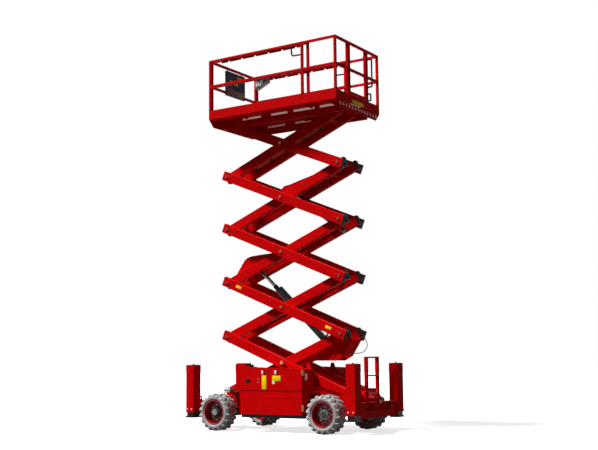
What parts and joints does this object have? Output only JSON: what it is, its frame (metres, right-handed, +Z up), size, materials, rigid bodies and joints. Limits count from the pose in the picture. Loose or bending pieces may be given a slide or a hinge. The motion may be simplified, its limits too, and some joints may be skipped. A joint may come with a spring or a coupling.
{
  "type": "rough-terrain scissor lift",
  "caption": "Self-propelled scissor lift with stacked crossed arms, guarded platform with roll-out deck, outriggers, side compartments and lugged grey tyres, shown raised.",
  "frame": {"origin": "on the ground, midway between the axles and on the centre plane, which is the bottom centre of the bounding box", "axes": "+Z up, +X towards the ladder end (the machine drives towards -X), -Y its left side"},
  "size_m": [3.5856, 1.7706, 6.884],
  "materials": {
    "red_paint": "gloss",
    "wheel_paint": "gloss",
    "grey_rubber": "matte",
    "chrome_rod": "polished",
    "black_paint": "satin",
    "black_plastic": "matte",
    "grey_plastic": "matte",
    "blue_plastic": "matte",
    "amber_lens": "gloss",
    "pale_nylon": "matte",
    "deck_metal": "brushed"
  },
  "bodies": {
    "chassis": {"chassis_frame": "red_paint", "front_outrigger_beam": "red_paint", "rear_outrigger_beam": "red_paint", "front_axle": "black_paint", "rear_axle": "black_paint", "ladder": "red_paint", "left_tray": "red_paint", "right_tray": "red_paint", "left_power_block": "black_plastic", "right_power_block": "black_plastic", "ladder_rungs": "black_paint", "skid_strips": "black_paint", "front_motor": "grey_plastic", "beacon": "amber_lens"},
    "left_steering": {"left_knuckle": "black_paint"},
    "front_left_wheel": {"front_left_rim": "wheel_paint", "front_left_tyre": "grey_rubber"},
    "front_left_outrigger": {"front_left_leg": "black_paint"},
    "rear_left_wheel": {"rear_left_rim": "wheel_paint", "rear_left_tyre": "grey_rubber"},
    "rear_left_outrigger": {"rear_left_leg": "black_paint"},
    "left_door_panel": {"left_door": "red_paint"},
    "right_steering": {"right_knuckle": "black_paint"},
    "front_right_wheel": {"front_right_rim": "wheel_paint", "front_right_tyre": "grey_rubber"},
    "front_right_outrigger": {"front_right_leg": "black_paint"},
    "rear_right_wheel": {"rear_right_rim": "wheel_paint", "rear_right_tyre": "grey_rubber"},
    "rear_right_outrigger": {"rear_right_leg": "black_paint"},
    "right_door_panel": {"right_door": "red_paint"},
    "steering_rod": {"tie_rod": "black_paint"},
    "inner_arms_1": {"inner_arms_1": "red_paint"},
    "outer_arms_1": {"outer_arms_1": "red_paint"},
    "inner_arms_2": {"inner_arms_2": "red_paint"},
    "outer_arms_2": {"outer_arms_2": "red_paint"},
    "inner_arms_3": {"inner_arms_3": "red_paint"},
    "outer_arms_3": {"outer_arms_3": "red_paint"},
    "inner_arms_4": {"inner_arms_4": "red_paint"},
    "outer_arms_4": {"outer_arms_4": "red_paint"},
    "inner_arms_5": {"inner_arms_5": "red_paint"},
    "outer_arms_5": {"outer_arms_5": "red_paint"},
    "platform": {"platform_deck": "red_paint", "left_platform_rails": "red_paint", "right_platform_rails": "red_paint", "slide_pads": "pale_nylon", "deck_handles": "black_paint"},
    "extension": {"extension_deck": "deck_metal", "extension_rails": "red_paint", "control_box": "grey_plastic", "end_panel": "blue_plastic"},
    "gate": {"gate": "red_paint"},
    "lower_cylinder": {"lower_barrel": "black_paint"},
    "lower_piston": {"lower_rod": "chrome_rod"},
    "upper_cylinder": {"upper_barrel": "black_paint"},
    "upper_piston": {"upper_rod": "chrome_rod"}
  },
  "joints": [
    {"name": "steer_left", "type": "hinge", "parent": "chassis", "child": "left_steering", "pos_m": [-1.145, -0.54, 0.33], "axis": [0, 0, 1], "range_deg": [-32, 32]},
    {"name": "steer_right", "type": "hinge", "parent": "chassis", "child": "right_steering", "pos_m": [-1.145, 0.54, 0.33], "axis": [0, 0, 1], "range_deg": [-32, 32]},
    {"name": "tie_rod_pivot", "type": "hinge", "parent": "left_steering", "child": "steering_rod", "pos_m": [-0.955, -0.54, 0.27], "axis": [0, 0, 1], "range_deg": [-32, 32]},
    {"name": "front_left_wheel_spin", "type": "hinge", "parent": "left_steering", "child": "front_left_wheel", "pos_m": [-1.145, -0.735, 0.33], "axis": [0, 1, 0], "continuous": true},
    {"name": "rear_left_wheel_spin", "type": "hinge", "parent": "chassis", "child": "rear_left_wheel", "pos_m": [1.145, -0.735, 0.33], "axis": [0, 1, 0], "continuous": true},
    {"name": "front_right_wheel_spin", "type": "hinge", "parent": "right_steering", "child": "front_right_wheel", "pos_m": [-1.145, 0.735, 0.33], "axis": [0, 1, 0], "continuous": true},
    {"name": "rear_right_wheel_spin", "type": "hinge", "parent": "chassis", "child": "rear_right_wheel", "pos_m": [1.145, 0.735, 0.33], "axis": [0, 1, 0], "continuous": true},
    {"name": "front_left_outrigger_slide", "type": "slide", "parent": "chassis", "child": "front_left_outrigger", "axis": [0, 0, -1], "range_m": [0, 0.45]},
    {"name": "rear_left_outrigger_slide", "type": "slide", "parent": "chassis", "child": "rear_left_outrigger", "axis": [0, 0, -1], "range_m": [0, 0.45]},
    {"name": "left_door_hinge", "type": "hinge", "parent": "chassis", "child": "left_door_panel", "pos_m": [0.759, -0.856, 0.7], "axis": [0, 0, 1], "range_deg": [0, 100]},
    {"name": "front_right_outrigger_slide", "type": "slide", "parent": "chassis", "child": "front_right_outrigger", "axis": [0, 0, -1], "range_m": [0, 0.45]},
    {"name": "rear_right_outrigger_slide", "type": "slide", "parent": "chassis", "child": "rear_right_outrigger", "axis": [0, 0, -1], "range_m": [0, 0.45]},
    {"name": "right_door_hinge", "type": "hinge", "parent": "chassis", "child": "right_door_panel", "pos_m": [0.759, 0.856, 0.7], "axis": [0, 0, -1], "range_deg": [0, 100]},
    {"name": "lift", "type": "hinge", "parent": "chassis", "child": "inner_arms_1", "pos_m": [-1.22, 0, 0.685], "axis": [0, -1, 0], "range_deg": [-17.8, 36.2]},
    {"name": "centre_pivot_1", "type": "hinge", "parent": "inner_arms_1", "child": "outer_arms_1", "pos_m": [0.00075, 0, 1.18716], "axis": [0, -1, 0], "range_deg": [-72.4, 35.6]},
    {"name": "front_pivot_1", "type": "hinge", "parent": "outer_arms_1", "child": "inner_arms_2", "pos_m": [-1.22, 0, 1.68932], "axis": [0, -1, 0], "range_deg": [-35.6, 72.4]},
    {"name": "centre_pivot_2", "type": "hinge", "parent": "inner_arms_2", "child": "outer_arms_2", "pos_m": [0.00075, 0, 2.19148], "axis": [0, -1, 0], "range_deg": [-72.4, 35.6]},
    {"name": "front_pivot_2", "type": "hinge", "parent": "outer_arms_2", "child": "inner_arms_3", "pos_m": [-1.22, 0, 2.69364], "axis": [0, -1, 0], "range_deg": [-35.6, 72.4]},
    {"name": "centre_pivot_3", "type": "hinge", "parent": "inner_arms_3", "child": "outer_arms_3", "pos_m": [0.00075, 0, 3.1958], "axis": [0, -1, 0], "range_deg": [-72.4, 35.6]},
    {"name": "front_pivot_3", "type": "hinge", "parent": "outer_arms_3", "child": "inner_arms_4", "pos_m": [-1.22, 0, 3.69796], "axis": [0, -1, 0], "range_deg": [-35.6, 72.4]},
    {"name": "centre_pivot_4", "type": "hinge", "parent": "inner_arms_4", "child": "outer_arms_4", "pos_m": [0.00075, 0, 4.20012], "axis": [0, -1, 0], "range_deg": [-72.4, 35.6]},
    {"name": "front_pivot_4", "type": "hinge", "parent": "outer_arms_4", "child": "inner_arms_5", "pos_m": [-1.22, 0, 4.70229], "axis": [0, -1, 0], "range_deg": [-35.6, 72.4]},
    {"name": "centre_pivot_5", "type": "hinge", "parent": "inner_arms_5", "child": "outer_arms_5", "pos_m": [0.00075, 0, 5.20445], "axis": [0, -1, 0], "range_deg": [-72.4, 35.6]},
    {"name": "platform_pivot", "type": "hinge", "parent": "outer_arms_5", "child": "platform", "pos_m": [-1.22, 0, 5.70661], "axis": [0, -1, 0], "range_deg": [-17.8, 36.2]},
    {"name": "extension_slide", "type": "slide", "parent": "platform", "child": "extension", "axis": [-1, 0, 0], "range_m": [0, 1.5]},
    {"name": "gate_hinge", "type": "hinge", "parent": "platform", "child": "gate", "pos_m": [1.44404, -0.291, 6.4], "axis": [0, 0, 1], "range_deg": [0, 90]},
    {"name": "lower_cylinder_pivot", "type": "hinge", "parent": "inner_arms_1", "child": "lower_cylinder", "pos_m": [0.96138, 0, 1.32281], "axis": [0, -1, 0], "range_deg": [-64.02, 31.58]},
    {"name": "lower_piston_slide", "type": "slide", "parent": "lower_cylinder", "child": "lower_piston", "axis": [-0.7225, 0, 0.6914], "range_m": [-0.5195, 1.0534]},
    {"name": "upper_cylinder_pivot", "type": "hinge", "parent": "inner_arms_3", "child": "upper_cylinder", "pos_m": [1.09472, 0, 3.55931], "axis": [0, -1, 0], "range_deg": [-64.69, 31.91]},
    {"name": "upper_piston_slide", "type": "slide", "parent": "upper_cylinder", "child": "upper_piston", "axis": [-0.8045, 0, 0.5939], "range_m": [-0.1651, 0.3327]}
  ],
  "couplings": [
    {"joint": "steer_right", "follows": "steer_left", "ratio": 1},
    {"joint": "tie_rod_pivot", "follows": "steer_left", "ratio": -1},
    {"joint": "centre_pivot_1", "follows": "lift", "ratio": -2},
    {"joint": "front_pivot_1", "follows": "lift", "ratio": 2},
    {"joint": "centre_pivot_2", "follows": "lift", "ratio": -2},
    {"joint": "front_pivot_2", "follows": "lift", "ratio": 2},
    {"joint": "centre_pivot_3", "follows": "lift", "ratio": -2},
    {"joint": "front_pivot_3", "follows": "lift", "ratio": 2},
    {"joint": "centre_pivot_4", "follows": "lift", "ratio": -2},
    {"joint": "front_pivot_4", "follows": "lift", "ratio": 2},
    {"joint": "centre_pivot_5", "follows": "lift", "ratio": -2},
    {"joint": "platform_pivot", "follows": "lift", "ratio": 1},
    {"joint": "lower_cylinder_pivot", "follows": "lift", "ratio": -1.7629},
    {"joint": "lower_piston_slide", "follows": "lift", "m_per_rad": 1.6625},
    {"joint": "upper_cylinder_pivot", "follows": "lift", "ratio": -1.7814},
    {"joint": "upper_piston_slide", "follows": "lift", "m_per_rad": 0.5218}
  ]
}
